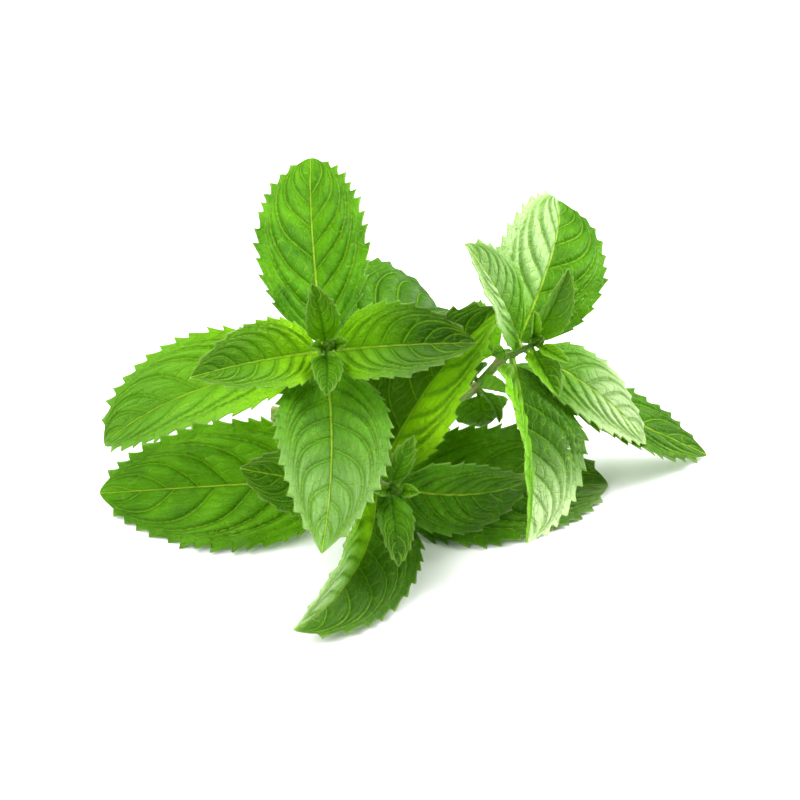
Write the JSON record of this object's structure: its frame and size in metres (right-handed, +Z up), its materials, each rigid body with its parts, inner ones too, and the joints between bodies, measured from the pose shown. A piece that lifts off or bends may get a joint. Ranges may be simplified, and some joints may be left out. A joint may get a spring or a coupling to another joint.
{
  "type": "spearmint sprig",
  "caption": "Cut spearmint sprig lying on a surface, a branched stem with leafy shoots of crossed pairs of pointed leaves, as a garnish or food ingredient.",
  "frame": {"origin": "on the surface the sprig lies on, under the middle of its bounding box", "axes": "+Z up from the surface, +X towards the right-hand shoot and -Y towards the front shoot, with the stem's cut end at -X and +Y"},
  "size_m": [0.1805, 0.1315, 0.0886],
  "materials": {
    "leaf": "satin",
    "young_leaf": "satin",
    "stem": "satin"
  },
  "bodies": {
    "root": {"main_stem": "stem", "main_bud": "young_leaf", "main_leaf_1_up": "young_leaf", "main_leaf_1_down": "young_leaf", "main_leaf_2_up": "young_leaf", "main_leaf_2_down": "young_leaf", "main_leaf_3_left": "leaf", "main_leaf_3_right": "leaf", "main_leaf_4_up": "leaf", "main_leaf_4_down": "leaf", "main_leaf_5_right": "leaf", "main_leaf_5_left": "leaf", "main_leaf_5_axil": "young_leaf", "main_leaf_6_down": "young_leaf", "main_leaf_6_up": "young_leaf", "main_leaf_6_axil_lower": "young_leaf", "main_leaf_6_axil_upper": "young_leaf", "left_stem": "stem", "left_bud": "young_leaf", "left_leaf_1_left": "young_leaf", "left_leaf_1_right": "young_leaf", "left_leaf_2_up": "young_leaf", "left_leaf_2_down": "young_leaf", "left_leaf_3_left": "leaf", "left_leaf_3_right": "leaf", "left_leaf_4_up": "leaf", "left_leaf_4_down": "leaf", "left_leaf_5_left": "leaf", "left_leaf_5_right": "leaf", "front_stem": "stem", "front_bud": "young_leaf", "front_leaf_1_left": "young_leaf", "front_leaf_1_right": "young_leaf", "front_leaf_2_up": "young_leaf", "front_leaf_2_down": "young_leaf", "front_leaf_3_right": "leaf", "front_leaf_3_left": "leaf", "front_leaf_4_up": "leaf", "front_leaf_4_down": "leaf", "front_leaf_5_left": "leaf", "front_leaf_5_right": "leaf"}
  },
  "joints": []
}
